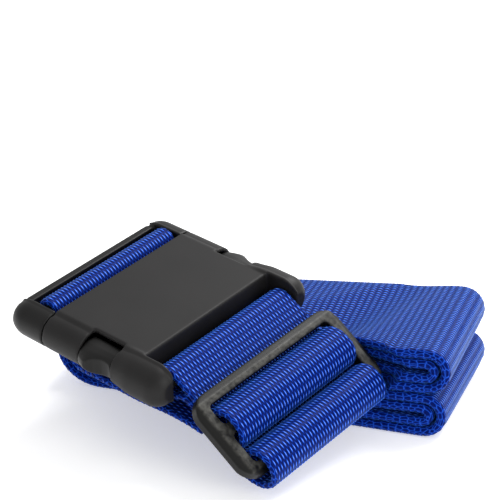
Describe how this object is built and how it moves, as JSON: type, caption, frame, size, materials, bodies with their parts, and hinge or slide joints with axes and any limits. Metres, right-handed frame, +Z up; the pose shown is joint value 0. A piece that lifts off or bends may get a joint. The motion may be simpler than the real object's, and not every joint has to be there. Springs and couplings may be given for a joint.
{
  "type": "luggage strap",
  "caption": "Webbing luggage strap with a closed side-release buckle and a slide adjuster, its spare length folded into a flat hank.",
  "frame": {"origin": "bottom centre of the whole strap's box", "axes": "+X along the folded hank towards its right-hand folds, +Z up"},
  "size_m": [0.1234, 0.101, 0.0456],
  "materials": {
    "webbing": "royal blue woven nylon webbing",
    "socket_plastic": "dark grey moulded acetal, fine matte texture",
    "plug_plastic": "near-black moulded acetal, satin",
    "adjuster_plastic": "near-black moulded acetal with lighter rubbed bevels"
  },
  "bodies": {
    "strap_and_socket": {"hank_lower_bundle": "webbing", "hank_upper_bundle": "webbing", "socket_housing": "socket_plastic", "socket_web_loop": "webbing", "feed_ply": "webbing"},
    "plug": {"plug_frame": "plug_plastic", "plug_web_loop": "webbing"},
    "near_arm": {"spring_arm_near": "plug_plastic"},
    "far_arm": {"spring_arm_far": "plug_plastic"},
    "adjuster": {"adjuster_frame": "adjuster_plastic", "adjuster_inner_loop": "webbing", "adjuster_outer_loop": "webbing"}
  },
  "joints": [
    {"name": "plug_slide", "type": "slide", "parent": "strap_and_socket", "child": "plug", "axis": [-0.9263, 0.3577, 0.1187], "range_m": [0, 0.034], "deforming": ["spring_arm_near", "spring_arm_far"]},
    {"name": "near_arm_squeeze", "type": "hinge", "parent": "plug", "child": "near_arm", "pos_m": [-0.04418, -0.02612, 0.02913], "axis": [0.0526, -0.1892, 0.9805], "range_deg": [0, 12], "stiffness_Nm_per_rad": 0.6},
    {"name": "far_arm_squeeze", "type": "hinge", "parent": "plug", "child": "far_arm", "pos_m": [-0.02336, 0.02491, 0.03786], "axis": [-0.0526, 0.1892, -0.9805], "range_deg": [0, 12], "stiffness_Nm_per_rad": 0.6},
    {"name": "adjuster_slide", "type": "slide", "parent": "strap_and_socket", "child": "adjuster", "axis": [-0.7415, 0.1926, 0.6428], "range_m": [0, 0.006]}
  ]
}
